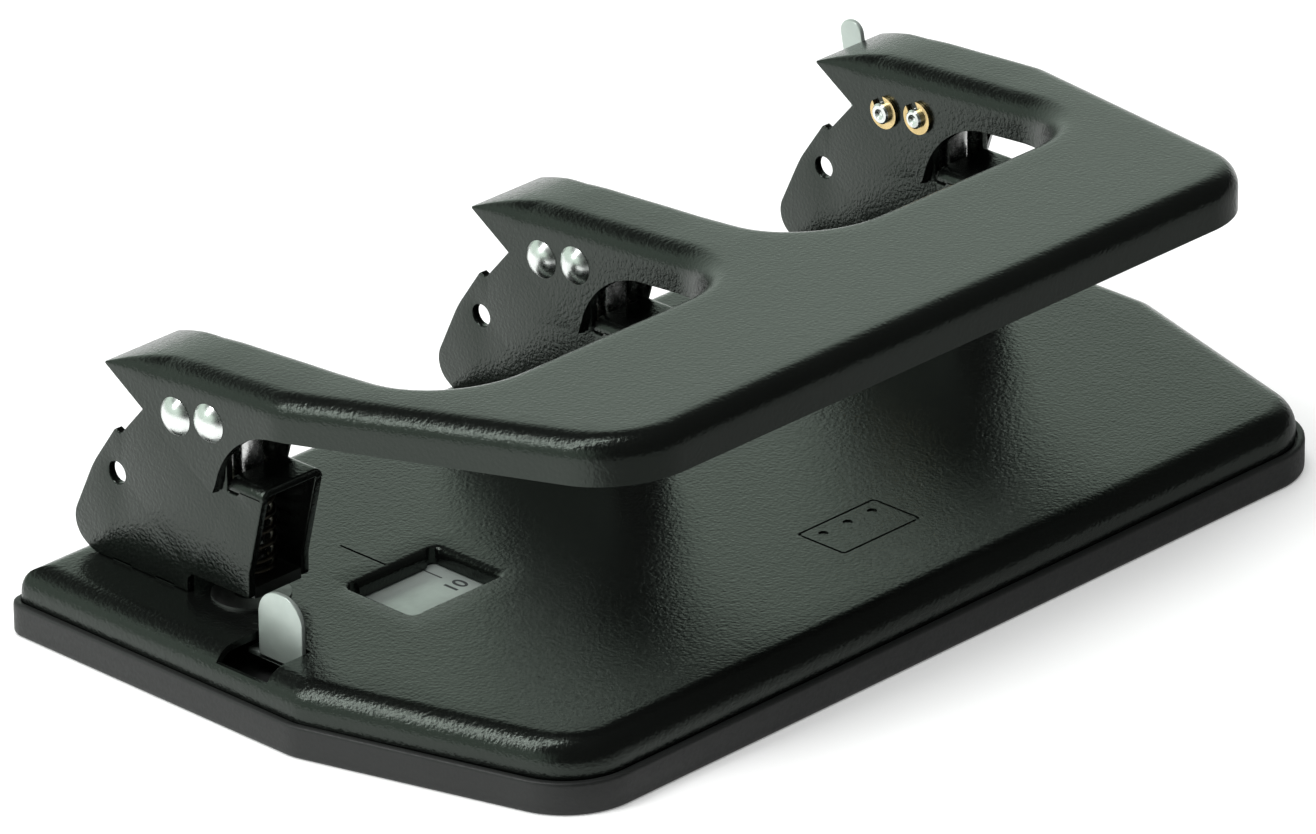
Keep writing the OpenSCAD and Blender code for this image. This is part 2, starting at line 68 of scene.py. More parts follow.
def ring(corners, step, inset=0.0):
    """Closed outline through corners (x, y, radius): an arc tangent to both
    sides at each corner, straight lines between, points every step. An inset
    moves each side in by that much: convex radii shrink, hollow ones grow.
    A clockwise outline is the edge of a hole, and an inset widens it."""
    c = np.array(corners, float)
    p, r = c[:, :2], c[:, 2]
    a, b = np.roll(p, 1, 0) - p, np.roll(p, -1, 0) - p
    side = np.linalg.norm(b, axis=1)
    a /= np.linalg.norm(a, axis=1)[:, None]
    b /= side[:, None]
    half = np.arccos(np.clip((a * b).sum(1), -1, 1)) / 2
    convex = np.sign(a[:, 1] * b[:, 0] - a[:, 0] * b[:, 1])
    inward = (a + b) / np.linalg.norm(a + b, axis=1)[:, None]
    q = p + inward * (convex * inset / np.sin(half))[:, None]
    s = np.where(convex > 0, np.maximum(r - inset, 0.04), r + inset)
    centre = q + inward * (s / np.sin(half))[:, None]
    first = q + a * (s / np.tan(half))[:, None]
    last = q + b * (s / np.tan(half))[:, None]
    start = np.arctan2(*(first - centre).T[::-1])
    sweep = convex * (np.pi - 2 * half)
    out = []
    for i in range(len(c)):
        n = max(2, int(np.ceil(r[i] * abs(sweep[i]) / step)) + 1)
        t = start[i] + sweep[i] * np.linspace(0, 1, n)
        out.append(centre[i] + s[i] * np.c_[np.cos(t), np.sin(t)])
        m = max(1, int(side[i] / step))
        u = np.linspace(0, 1, m + 2)[1:-1, None]
        out.append(last[i] * (1 - u) + first[(i + 1) % len(c)] * u)
    return np.vstack(out)


def tube_faces(rows, count, first=0):
    """Quads between rows of count points, each row closed on itself."""
    i, j = np.meshgrid(np.arange(rows - 1), np.arange(count), indexing="ij")
    k = (j + 1) % count
    q = np.stack([i * count + j, i * count + k, (i + 1) * count + k, (i + 1) * count + j], -1)
    return first + q.reshape(-1, 4)


def inside(points, loop):
    """True for points within the loop: an odd number of its sides lies to the right."""
    x, y = points[:, :1], points[:, 1:]
    x0, y0 = loop.T
    x1, y1 = np.roll(loop, -1, 0).T
    crosses = (y0 > y) != (y1 > y)
    with np.errstate(divide="ignore", invalid="ignore"):
        at = x0 + (y - y0) * (x1 - x0) / (y1 - y0)
    return (crosses & (x < at)).sum(1) % 2 == 1


def fill(loops, spacing=0.0):
    """Triangles over the first loop less the others, with extra points on a
    square grid of that spacing. Gives the points and the triangles, wound to
    face up; the loops' own points come first, in order."""
    edge = np.vstack(loops)
    pts = edge
    if spacing:
        low, high = edge.min(0), edge.max(0)
        gx, gy = np.meshgrid(np.arange(low[0], high[0], spacing), np.arange(low[1], high[1], spacing))
        g = np.c_[gx.ravel(), gy.ravel()]
        keep = inside(g, loops[0])
        for hole in loops[1:]:
            keep &= ~inside(g, hole)
        g = g[keep]
        near = ((g[:, None] - edge[None]) ** 2).sum(2).min(1)
        pts = np.vstack([edge, g[near > (0.6 * spacing) ** 2]])
    sides, n = [], 0
    for loop in loops:
        k = np.arange(len(loop))
        sides.append(np.c_[n + k, n + (k + 1) % len(loop)])
        n += len(loop)
    v, _, f, origin, _, _ = delaunay_2d_cdt(
        [Vector(p) for p in pts], np.vstack(sides).tolist(), [], 0, 1e-7)
    back = np.array([o[0] if o else -1 for o in origin])
    v, f = np.array(v)[:, :2], np.array(f)
    middle = v[f].mean(1)
    keep = inside(middle, loops[0])
    for hole in loops[1:]:
        keep &= ~inside(middle, hole)
    f = back[f[keep]]
    f = f[(f >= 0).all(1)]
    d1, d2 = pts[f[:, 1]] - pts[f[:, 0]], pts[f[:, 2]] - pts[f[:, 0]]
    twice = d1[:, 0] * d2[:, 1] - d1[:, 1] * d2[:, 0]
    f[twice < 0] = f[twice < 0][:, ::-1]
    return pts, f[np.abs(twice) > 1e-4]


def mesh_of(name, parts, angle=35):
    """One mesh from (points in mm, faces) parts: in metres, doubles merged,
    edges over the angle kept sharp."""
    verts, faces, n = [], [], 0
    for v, f in parts:
        verts.append(np.asarray(v, float))
        faces += [(np.asarray(q) + n).tolist() for q in f]
        n += len(v)
    me = bpy.data.meshes.new(name)
    me.from_pydata((np.vstack(verts) / 1000).tolist(), [], [q for fs in faces for q in (fs if isinstance(fs[0], list) else [fs])])
    me.update()
    import bmesh
    bm = bmesh.new()
    bm.from_mesh(me)
    bmesh.ops.remove_doubles(bm, verts=bm.verts, dist=2e-6)
    bmesh.ops.dissolve_degenerate(bm, dist=1e-7, edges=bm.edges)
    bm.to_mesh(me)
    bm.free()
    me.shade_smooth()
    me.set_sharp_from_angle(angle=np.radians(angle))
    return me


def piece(name, me, body, finish, slot, *stands_for):
    """A shown piece: its mesh and material, the body it rides on, the finish
    slot, which is not used, and the CAD nodes it stands for."""
    ob = bpy.data.objects.new(name, me)
    bpy.context.scene.collection.objects.link(ob)
    me.materials.clear()
    me.materials.append(finish)
    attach(ob, body)
    if stands_for:
        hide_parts(*stands_for)
    return ob


def new_material(name):
    """An empty node material, its nodes, its links and its Principled shader."""
    m = bpy.data.materials.new(name)
    m.use_nodes = True
    return m, m.node_tree.nodes, m.node_tree.links, m.node_tree.nodes["Principled BSDF"]


def grain_group():
    """Shader group: two scales of noise on Object coordinates. Cells is the
    fine one, Clouds the broad one, Height a mix of both for a Bump node."""
    g = bpy.data.node_groups.new("fine_grain", "ShaderNodeTree")
    face = g.interface
    for name, value in (("Fine scale", 900.0), ("Broad scale", 40.0), ("Detail", 3.0)):
        s = face.new_socket(name, in_out="INPUT", socket_type="NodeSocketFloat")
        s.default_value = value
    for name in ("Cells", "Clouds", "Height"):
        face.new_socket(name, in_out="OUTPUT", socket_type="NodeSocketFloat")
    n, l = g.nodes, g.links
    gin, gout = n.new("NodeGroupInput"), n.new("NodeGroupOutput")
    place = n.new("ShaderNodeTexCoord")
    fine, broad, mix = n.new("ShaderNodeTexNoise"), n.new("ShaderNodeTexNoise"), n.new("ShaderNodeMath")
    mix.operation = "MULTIPLY_ADD"
    mix.inputs[1].default_value = 0.35
    for t, s in ((fine, "Fine scale"), (broad, "Broad scale")):
        l.new(place.outputs["Object"], t.inputs["Vector"])
        l.new(gin.outputs[s], t.inputs["Scale"])
        l.new(gin.outputs["Detail"], t.inputs["Detail"])
    l.new(broad.outputs["Fac"], mix.inputs[0])
    l.new(fine.outputs["Fac"], mix.inputs[2])
    l.new(fine.outputs["Fac"], gout.inputs["Cells"])
    l.new(broad.outputs["Fac"], gout.inputs["Clouds"])
    l.new(mix.outputs[0], gout.inputs["Height"])
    return g


fine_grain = grain_group()


def grained(name, dark, light, rough, rough_spread, fine, broad, bump, metallic=0.0):
    """A material whose colour runs from dark to light with the broad noise and
    whose roughness and bump follow the fine one."""
    m, n, l, bsdf = new_material(name)
    g = n.new("ShaderNodeGroup")
    g.node_tree = fine_grain
    g.inputs["Fine scale"].default_value = fine
    g.inputs["Broad scale"].default_value = broad
    tint, ro, bu = n.new("ShaderNodeMix"), n.new("ShaderNodeMapRange"), n.new("ShaderNodeBump")
    tint.data_type = "RGBA"
    tint.inputs["A"].default_value = (*dark, 1)
    tint.inputs["B"].default_value = (*light, 1)
    ro.inputs["From Min"].default_value = 0.3
    ro.inputs["From Max"].default_value = 0.7
    ro.inputs["To Min"].default_value = rough - rough_spread
    ro.inputs["To Max"].default_value = rough + rough_spread
    bu.inputs["Strength"].default_value = bump
    bu.inputs["Distance"].default_value = 0.0002
    l.new(g.outputs["Clouds"], tint.inputs["Factor"])
    l.new(tint.outputs["Result"], bsdf.inputs["Base Color"])
    l.new(g.outputs["Cells"], ro.inputs["Value"])
    l.new(ro.outputs["Result"], bsdf.inputs["Roughness"])
    l.new(g.outputs["Height"], bu.inputs["Height"])
    l.new(bu.outputs["Normal"], bsdf.inputs["Normal"])
    bsdf.inputs["Metallic"].default_value = metallic
    return m


rubber = grained("moulded_rubber", (0.012, 0.013, 0.0125), (0.019, 0.020, 0.0195), 0.46, 0.07, 1300, 60, 0.3)
rubber.node_tree.nodes["Principled BSDF"].inputs["Specular IOR Level"].default_value = 0.4


def base_corners(inset):
    """The base's outline from above, its sides moved in by inset, in mm."""
    x, y, fx = 134.2 - inset, 75.8 - inset, 115.0 - inset
    r = max(1.0, 4.0 - inset)
    return [(-fx, -y, 18 - inset), (fx, -y, 18 - inset), (x, -10.5, 12), (x, y, r), (-x, y, r), (-x, -10.5, 12)]


# wall section from the bottom's edge, up the outside, over the lip and down
# into the groove that the deck stands in
pan_inset = [3.0, 0.9, 0.35, 0.05, 0.0, 0.0, 0.0, 0.06, 0.35, 1.3, 1.62, 1.7, 1.7]
pan_height = [0.0, 0.0, 0.15, 0.6, 1.2, 3.8, 6.6, 7.1, 7.38, 7.4, 7.3, 7.0, 6.2]
pan_rings = [ring(base_corners(0), 1.5, d) for d in pan_inset]
pan_rows = np.vstack([np.c_[p, np.full(len(p), z)] for p, z in zip(pan_rings, pan_height)])
under, under_f = fill([pan_rings[0]], 12)
inner, inner_f = fill([pan_rings[-1]], 12)
pan_mesh = mesh_of("rubber_pan_shell", [
    (pan_rows, tube_faces(len(pan_inset), len(pan_rings[0]))),
    (np.c_[under, np.zeros(len(under))], under_f[:, ::-1]),
    (np.c_[inner, np.full(len(inner), 6.2)], inner_f)], 50)
piece("rubber_pan_moulding", pan_mesh, "base", rubber, "rubber", "rubber_pan")

# ---------------------------------------------------------------- deck
# Sheet steel drawn into a shallow tray turned upside down, with a broad
# rounded edge. A window, a notch, slots and an embossed mark are pressed in.
# It is powder-coated black, with the fine orange peel that leaves.


def black_paint():
    """Powder coat: near-black, semi-gloss, with pits and swells of about a
    millimetre in the bump and a faint cloudiness in the gloss."""
    m = grained("black_powder_coat", (0.0034, 0.0038, 0.0035), (0.0052, 0.0058, 0.0053), 0.20, 0.03, 1250, 35, 0.6)
    bsdf = m.node_tree.nodes["Principled BSDF"]
    bsdf.inputs["Specular IOR Level"].default_value = 0.5
    bsdf.inputs["Specular Tint"].default_value = (0.86, 1.0, 0.89, 1)
    return m


paint = black_paint()


def pressed_wall(place, low, top, radius, sheet, rows=3, turns=9):
    """Sheet metal turned down round an outline: up the inside, round the
    bottom edge and up the outside to the flat. place(d) gives the outline
    moved in by d, low is the edge's height, top(x, y) the upper face, and each
    side ends in a quarter turn of its radius. Rows of points, in mm."""
    def skin(offset, r):
        turn = np.linspace(0, np.pi / 2, turns)
        foot = place(offset)
        shoulder = np.maximum(top(*foot.T) - offset - r, low)
        lift = [np.c_[foot, low + (shoulder - low) * k / rows] for k in range(rows)]
        bend = []
        for a in turn:
            p = place(offset + r * (1 - np.cos(a)))
            z = np.maximum(top(*p.T) - offset - r * (1 - np.sin(a)), low)
            bend.append(np.c_[p, z])
        return lift + bend
    outer = skin(0.0 * radius, radius)
    inner = skin(0.0 * radius + sheet, np.maximum(radius - sheet, 0.05))
    return inner[::-1] + outer


def pressed_shell(walls, top, sheet, spacing):
    """The closed sheet inside the first wall and outside the others."""
    parts = [(np.vstack(w), tube_faces(len(w), len(w[0]))) for w in walls]
    for end, drop, flip in ((-1, 0.0, 1), (0, sheet, -1)):
        p, f = fill([w[end][:, :2] for w in walls], spacing)
        parts.append((np.c_[p, top(*p.T) - drop], f[:, ::flip]))
    return parts


def level(z):
    """A flat upper face at that height."""
    return lambda x, y: np.full(np.shape(x), float(z))


deck_top, deck_sheet = 15.5, 1.6
window = [(-91.6, -3.3, 0.8), (-91.6, 15.35, 0.8), (-66.0, 15.35, 0.8), (-66.0, -3.3, 0.8)]


def deck_outline(d):
    """The deck's outline moved in by d: one number, so corners stay true."""
    return ring(base_corners(1.8), 1.5, float(np.max(d)))


deck_n = len(deck_outline(0))
deck_parts = pressed_shell([
    pressed_wall(deck_outline, np.full(deck_n, 6.95), level(deck_top), np.full(deck_n, 6.0), deck_sheet, turns=12),
    pressed_wall(lambda d: ring(window, 1.0, float(np.max(d))), 11.6, level(deck_top), 1.9, deck_sheet, rows=2, turns=6),
], level(deck_top), deck_sheet, 7)


def plate(loops, low, high, rim, step, axes):
    """A flat plate with a small round rim on every edge. loops are corner
    lists in (u, v), the outline first and holes clockwise after it; it runs
    from low to high along w. axes says which of u, v, w is x, y and z."""
    turn = np.linspace(0, np.pi / 2, 4)
    inset = np.r_[rim * (1 - np.sin(turn)), rim * (1 - np.cos(turn))]
    height = np.r_[low + rim * (1 - np.cos(turn)), high - rim * (1 - np.sin(turn))]
    parts, ends = [], []
    for loop in loops:
        rows = [ring(loop, step, d) for d in inset]
        v = np.vstack([np.c_[p, np.full(len(p), z)] for p, z in zip(rows, height)])
        parts.append((v[:, axes], tube_faces(len(rows), len(rows[0]))))
        ends.append(rows[0])
    p, f = fill(ends)
    parts.append((np.c_[p, np.full(len(p), high)][:, axes], f))
    parts.append((np.c_[p, np.full(len(p), low)][:, axes], f[:, ::-1]))
    return parts


def hole(u, v, d):
    """A round hole's outline: a square of corners, clockwise, fully rounded."""
    r = d / 2
    return [(u - r, v - r, r * 0.999), (u - r, v + r, r * 0.999), (u + r, v + r, r * 0.999), (u + r, v - r, r * 0.999)]


ACROSS, UPRIGHT, FLAT = [2, 0, 1], [1, 2, 0], [0, 1, 2]


def block(x0, x1, y0, y1, z0, z1):
    """A closed box, for cutting."""
    v = np.array([(x, y, z) for z in (z0, z1) for y in (y0, y1) for x in (x0, x1)], float)
    f = [(0, 2, 3, 1), (4, 5, 7, 6), (0, 1, 5, 4), (2, 6, 7, 3), (0, 4, 6, 2), (1, 3, 7, 5)]
    return v, f


def plug(x, y, d, z0, z1, n=48):
    """A closed round plug, for cutting: rings of n points and two flat ends."""
    t = np.linspace(0, 2 * np.pi, n, endpoint=False)
    c = np.c_[x + d / 2 * np.cos(t), y + d / 2 * np.sin(t)]
    v = np.vstack([np.c_[c, np.full(n, z0)], np.c_[c, np.full(n, z1)]])
    return v, tube_faces(2, n).tolist() + [list(range(n))[::-1], list(range(n, 2 * n))]


def cut(me, tools):
    """The mesh less every tool, worked out once."""
    ob = bpy.data.objects.new("blank", me)
    bpy.context.scene.collection.objects.link(ob)
    for k, group in enumerate(tools):
        tool = bpy.data.objects.new("tool", mesh_of("tool", group))
        bpy.context.scene.collection.objects.link(tool)
        b = ob.modifiers.new("cut%d" % k, "BOOLEAN")
        b.object, b.operation, b.solver = tool, "DIFFERENCE", "EXACT"
    got = bpy.data.meshes.new_from_object(ob.evaluated_get(bpy.context.evaluated_depsgraph_get()))
    for o in [o for o in bpy.data.objects if o.name.startswith(("tool", "blank"))]:
        bpy.data.objects.remove(o)
    got.shade_smooth()
    got.set_sharp_from_angle(angle=np.radians(32))
    return got


head_x = (-107.95, 0.0, 107.95)
slots = [block(x + s * 7.75 - 1.1, x + s * 7.75 + 1.1, y - 3.1, y + 3.1, 9, 18)
         for x in head_x for s in (-1, 1) for y in (45, 58)]
through = slots + [plug(x, 28, 12, 9, 18) for x in head_x]
notch = [block(-136, -118.6, -0.9, 14.1, 12.5, 18)]
notch_deep = [block(-130.65, -118.6, -0.9, 14.1, 4, 18)]
reliefs = [plug(x, y, 3.0, 9, 18, 24) for x in (-90.2, -67.4) for y in (-3.1, 15.1)]
sheet_mark = [[(-10, -50, 1), (14, -50, 1), (14, -36, 1), (-10, -36, 1)],
              [(-9.4, -49.4, 0.5), (-9.4, -36.6, 0.5), (13.4, -36.6, 0.5), (13.4, -49.4, 0.5)]]
mark = plate(sheet_mark, 15.15, 16, 0.02, 1, FLAT) + [plug(2 + dx, -39.8, 2.2, 15.15, 16, 24) for dx in (-7.5, 0, 7.5)]
index_line = [block(-79.55, -78.95, 17.2, 30.8, 15.1, 16)]
deck_mesh = cut(mesh_of("deck_shell", deck_parts), [through + mark + index_line, notch, notch_deep, reliefs])
deck = piece("deck_pressing", deck_mesh, "base", paint, "black_paint", "deck")

# ---------------------------------------------------------------- punch heads
# Each head is one bent steel bracket: two cheeks joined by a web across the
# front, its feet peened through slots in the deck. Same black powder coat.


cheek = [(19.4, 20, 0.6), (19.3, 25.2, 3), (14.5, 44.4, 0.8), (21.5, 44.4, 0.1), (21.9, 43.1, 0.4),
         (25.15, 43.1, 0.6), (25.15, 51, 0.8), (31.2, 51, 1.2), (31.4, 61.8, 5), (42, 63.4, 5),
         (57.4, 45.8, 0.8), (58.7, 47.2, 0.8), (66.2, 36.5, 30), (74, 20.1, 6), (67, 15.5, 7),
         (38, 15.5, 0.1), (38, 20, 2)][::-1]
web = [(44.0, -8.75, 0.1), (44.0, -6.75, 0.1), (44.4, -6.75, 0.1), (44.4, 6.75, 0.1), (44.0, 6.75, 0.1),
       (44.0, 8.75, 0.1), (46.4, 8.75, 2.6), (46.4, -8.75, 2.6)][::-1]
for side, x in zip(("left", "middle", "right"), head_x):
    parts = []
    for inner_x in (-8.75, 6.75):
        parts += plate([cheek, hole(58.7, 36.5, 5), hole(38, 56.8, 4.9)], x + inner_x, x + inner_x + 2, 0.35, 0.8, ACROSS)
        for y in (45, 58):
            parts += plate([[(y - 3, 12, 0.3), (y + 3, 12, 0.3), (y + 3, 16.4, 0.3), (y - 3, 16.4, 0.3)]],
                           x + inner_x, x + inner_x + 2, 0.2, 0.8, ACROSS)
    web_parts = plate([[(p[0], p[1] + x, p[2]) for p in web]], 14.5, 24.5, 0.35, 0.5, UPRIGHT)
    piece("head_bracket_" + side, mesh_of("head_bracket_" + side, parts + web_parts), "base", paint, "black_paint", "head_" + side)

# ---------------------------------------------------------------- handle
# One long steel pressing: a sloped front bar and three arms that straddle the
# heads. Its skin turns down all round into a flange with a soft shoulder,
# which fades out at the back tip of each arm. Black powder coat.
arm_tip_y, tip_z = 59.35, 62.7
crown_y = np.array([-80, 8.5, 18.5, 28.5, 36.5, 42.5, 48.5, 54.5, 59.35, 64.2])
crown_z = np.array([70.4 + 88.5 * np.tan(np.radians(5.08)), 70.4, 69.8, 69.1, 68.6, 67.9, 66.7, 64.7, 62.7, 60.7])
fine_y = np.arange(-84, 68, 0.5)
blur = np.hanning(15) / np.hanning(15).sum()
fine_z = np.convolve(np.interp(fine_y, crown_y, crown_z), blur, "same")
fine_z[:16], fine_z[-16:] = np.interp(fine_y, crown_y, crown_z)[:16], np.interp(fine_y, crown_y, crown_z)[-16:]


def crown(x, y):
    """Height of the handle's upper face: a straight slope along the bar, a
    slow curve down over the arms."""
    return np.interp(y, fine_y, fine_z)


def flange_edge(y):
    """Height of the flange's lower edge: level with the slope at the front, a
    quarter arch over the head's web, and a slant from the foot to the tip."""
    front = 60.6 + (6.55 - y) * np.tan(np.radians(4.6))
    arch = 40 + np.sqrt(np.maximum(20.6 ** 2 - (np.clip(y, 6.55, 26.95) - 6.55) ** 2, 0))
    slant = 42.6 + (y - 28.15) * (tip_z - 42.6) / (arm_tip_y - 28.15)
    return np.where(y < 6.55, front, np.where(y < 27.2, arch, np.maximum(slant, 42.6)))


handle_corners = [
    (-96.5, -72.6, 20), (96.5, -72.6, 20), (118.65, 8.5, 14), (118.65, arm_tip_y, 0.4), (97.25, arm_tip_y, 0.4),
    (97.25, -21, 19), (10.7, -21, 19), (10.7, arm_tip_y, 0.4), (-10.7, arm_tip_y, 0.4), (-10.7, -21, 19),
    (-97.25, -21, 19), (-97.25, arm_tip_y, 0.4), (-118.65, arm_tip_y, 0.4), (-118.65, 8.5, 14)]
shoulder, handle_sheet = 5.5, 1.5
handle_edge = ring(handle_corners, 1.0)
handle_step = (ring(handle_corners, 1.0, shoulder) - handle_edge) / shoulder


def handle_outline(d):
    """The handle's outline moved in by d, which may change along it."""
    return handle_edge + handle_step * np.reshape(d, (-1, 1))


handle_low = flange_edge(handle_edge[:, 1])
handle_low = np.minimum(handle_low, crown(0, handle_edge[:, 1]) - 0.12)
fade = np.clip((arm_tip_y - handle_edge[:, 1]) / 15, 0.02, 1) ** 0.85
handle_wall = pressed_wall(handle_outline, handle_low, crown, shoulder * fade, handle_sheet, rows=5, turns=11)
handle_mesh = mesh_of("handle_shell", pressed_shell([handle_wall], crown, handle_sheet, 3.5))
handle = piece("handle_pressing", handle_mesh, "handle", paint, "black_paint", "handle")

# ---------------------------------------------------------------- pins
# Two nickel-plated pins a head: the pivot and the one that drives the punch.
# Each has a domed rivet head, and a grooved tail with a dimple in its end.
bright = grained("bright_nickel", (0.70, 0.73, 0.71), (0.82, 0.85, 0.83), 0.27, 0.05, 700, 120, 0.05, 1.0)


def turned(profile, place, flip, n=48):
    """A turned piece: (radius, distance) profile spun round the X axis, then
    put at place. flip sends it the other way along X."""
    r, a = np.array(profile, float).T
    t = np.linspace(0, 2 * np.pi, n, endpoint=False)
    v = np.stack([np.repeat(a[:, None], n, 1), r[:, None] * np.cos(t), r[:, None] * np.sin(t)], -1).reshape(-1, 3)
    f = tube_faces(len(r), n)
    if flip < 0:
        v[:, 0] *= -1
        f = f[:, ::-1]
    return v + np.array(place), f


def pin_profile(d, groove):
    """Radius and distance from the middle of the head bracket: dome, shank,
    groove for the clip, chamfered tail with a punched dimple."""
    a = np.linspace(0, 1, 9)
    ball = (4.3 ** 2 + 2.1 ** 2) / 4.2
    dome_r = 4.3 * a
    dome_a = -10.75 - 2.1 + ball - np.sqrt(ball ** 2 - dome_r ** 2)
    dome = list(zip(np.maximum(dome_r, 1e-4), dome_a))
    tail = [(4.3, -10.75), (d / 2, -10.75), (d / 2, 10.8), (groove / 2, 10.8), (groove / 2, 11.6), (d / 2, 11.6),
            (d / 2, 12.4), (d / 2 - 0.4, 12.8), (1.25, 12.85), (0.7, 12.5), (1e-4, 12.2)]
    return dome + tail


pin_parts = []
for x, way in zip(head_x, (1, 1, -1)):
    pin_parts.append(turned(pin_profile(4.8, 3.4), (x, 38, 56.8), way))
    pin_parts.append(turned(pin_profile(4.4, 3.2), (x, 28, 58.4), way))
piece("riveted_pins", mesh_of("riveted_pins", pin_parts, 32), "handle", bright, "nickel",
      *[p + s for p in ("pivot_pin_", "drive_pin_") for s in ("left", "middle", "right")])

# ---------------------------------------------------------------- clips
# Spring-steel E-clips on the pins' tails, with yellow zinc on them.
zinc = grained("yellow_zinc", (0.60, 0.42, 0.16), (0.78, 0.62, 0.34), 0.3, 0.08, 500, 90, 0.12, 1.0)
cad_nodes["pin_clips"].data.materials.clear()
cad_nodes["pin_clips"].data.materials.append(zinc)

# ---------------------------------------------------------------- springs
# Compression springs of oil-blacked wire round the punches, with closed ends.
# In the real punch they shorten as the punches go down; here each is one fixed mesh.
blued = grained("oil_blacked_wire", (0.09, 0.08, 0.06), (0.16, 0.14, 0.11), 0.3, 0.06, 700, 90, 0.08, 1.0)
spring_low, spring_high, wire, coil = 21.85, 42.85, 1.3, 10.2


def spring_mesh(x, name):
    """A tube of 12 sides along a helix. Its rise per turn is a wire's width at
    both ends and even between, from the integral of a smooth pitch."""
    turns, per = 8.0, 40
    s = np.linspace(0, turns, int(turns * per) + 1)
    pitch = np.interp(s, [0, 0.7, 1.4, turns - 1.4, turns - 0.7, turns], [0.1, 0.1, 1, 1, 0.1, 0.1])
    z = np.cumsum(pitch)
    z = spring_low + wire / 2 + (spring_high - spring_low - wire) * (z - z[0]) / (z[-1] - z[0])
    a = 2 * np.pi * s
    out = np.c_[np.cos(a), np.sin(a), 0 * a]
    centre = out * coil / 2 + np.c_[0 * a + x, 0 * a + 28, z]
    k = np.linspace(0, 2 * np.pi, 12, endpoint=False)
    v = centre[:, None] + wire / 2 * (np.cos(k)[None, :, None] * out[:, None] + np.sin(k)[None, :, None] * np.array([0, 0, 1.0]))
    n = len(s)
    faces = tube_faces(n, 12)[:, ::-1].tolist() + [list(range(12)), list(range((n - 1) * 12, n * 12))[::-1]]
    return mesh_of(name, [(v.reshape(-1, 3), faces)])


for side, x in zip(("left", "middle", "right"), head_x):
    coil_piece = piece("return_spring_" + side, spring_mesh(x, "return_spring_" + side), "base", blued, "spring_steel", "spring_" + side)
    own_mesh(coil_piece)
    cad_nodes["collar_" + side].data.materials.clear()
    cad_nodes["collar_" + side].data.materials.append(blued)

# ---------------------------------------------------------------- punches, dies and guide plates
# Ground tool-steel punches in plain steel guides, over hardened dies.


def brushed(name, dark, light, rough, stretch):
    """Steel with fine lines: the grain squeezed along one axis by a Mapping
    node gives the lines in colour, roughness and bump."""
    m = grained(name, dark, light, rough, 0.07, 900, 220, 0.08, 1.0)
    n, l = m.node_tree.nodes, m.node_tree.links
    place, squeeze, lines, more = n.new("ShaderNodeTexCoord"), n.new("ShaderNodeMapping"), n.new("ShaderNodeTexNoise"), n.new("ShaderNodeBump")
    squeeze.inputs["Scale"].default_value = stretch
    lines.inputs["Scale"].default_value = 300
    more.inputs["Strength"].default_value = 0.08
    more.inputs["Distance"].default_value = 0.0001
    l.new(place.outputs["Object"], squeeze.inputs["Vector"])
    l.new(squeeze.outputs["Vector"], lines.inputs["Vector"])
    l.new(lines.outputs["Fac"], more.inputs["Height"])
    old = n["Principled BSDF"].inputs["Normal"].links[0].from_socket
    l.new(old, more.inputs["Normal"])
    l.new(more.outputs["Normal"], n["Principled BSDF"].inputs["Normal"])
    return m


ground = brushed("ground_steel", (0.50, 0.50, 0.50), (0.66, 0.66, 0.65), 0.24, (1, 1, 14))
oiled = brushed("oiled_steel", (0.16, 0.165, 0.165), (0.26, 0.265, 0.26), 0.42, (8, 1, 1))
for side in ("left", "middle", "right"):
    for node, finish in (("punch_", ground), ("die_", oiled), ("guide_plate_", oiled)):
        cad_nodes[node + side].data.materials.clear()
        cad_nodes[node + side].data.materials.append(finish)
cad_nodes["guide_straps"].data.materials.clear()
cad_nodes["guide_straps"].data.materials.append(oiled)

# ---------------------------------------------------------------- paper guide
# A satin-nickel strip that slides in straps under the deck. Its end is bent up
# into a round-topped tab, and its scale shows in the window.
satin = brushed("satin_nickel", (0.45, 0.505, 0.475), (0.56, 0.625, 0.585), 0.38, (1, 10, 1))
satin.node_tree.nodes["Principled BSDF"].inputs["Metallic"].default_value = 0.55
tab = [(0.1, 10.1, 0.3), (13.1, 10.1, 0.3), (13.1, 26.6, 6), (0.1, 26.6, 6)]
strip = [(-120.2, -1.6, 0.3), (-48, -1.6, 0.3), (-48, 16.6, 0.3), (-120.2, 16.6, 0.3)]
guide_parts = plate([tab], -120.2, -119, 0.25, 0.5, ACROSS) + plate([strip], 10.1, 11.3, 0.2, 1.0, FLAT)
piece("sliding_guide", mesh_of("sliding_guide", guide_parts), "guide", satin, "satin_nickel", "paper_guide")

# printed scale: one line and its number, in grey ink a hair proud of the strip
ink = grained("scale_ink", (0.03, 0.035, 0.035), (0.05, 0.055, 0.055), 0.6, 0.05, 1500, 200, 0.05)
line_me = mesh_of("scale_line", plate([[(-69.9, 10.1, 0.02), (-69.5, 10.1, 0.02), (-69.5, 15.4, 0.02), (-69.9, 15.4, 0.02)]],
                                      11.28, 11.33, 0.005, 0.5, FLAT))
piece("scale_line", line_me, "guide", ink, "satin_nickel")
text = bpy.data.curves.new("scale_number", "FONT")
text.body, text.size, text.extrude = "10", 0.0054, 0.00002
text.offset = 0.00009
text.align_x = text.align_y = "CENTER"
words = bpy.data.objects.new("scale_number_text", text)
bpy.context.scene.collection.objects.link(words)
words.location = (-0.0702, 0.0053, 0.01131)
bpy.context.view_layer.update()
number_me = bpy.data.meshes.new_from_object(words.evaluated_get(bpy.context.evaluated_depsgraph_get()))
number_me.transform(words.matrix_world)
bpy.data.objects.remove(words)
piece("scale_number", number_me, "guide", ink, "satin_nickel")

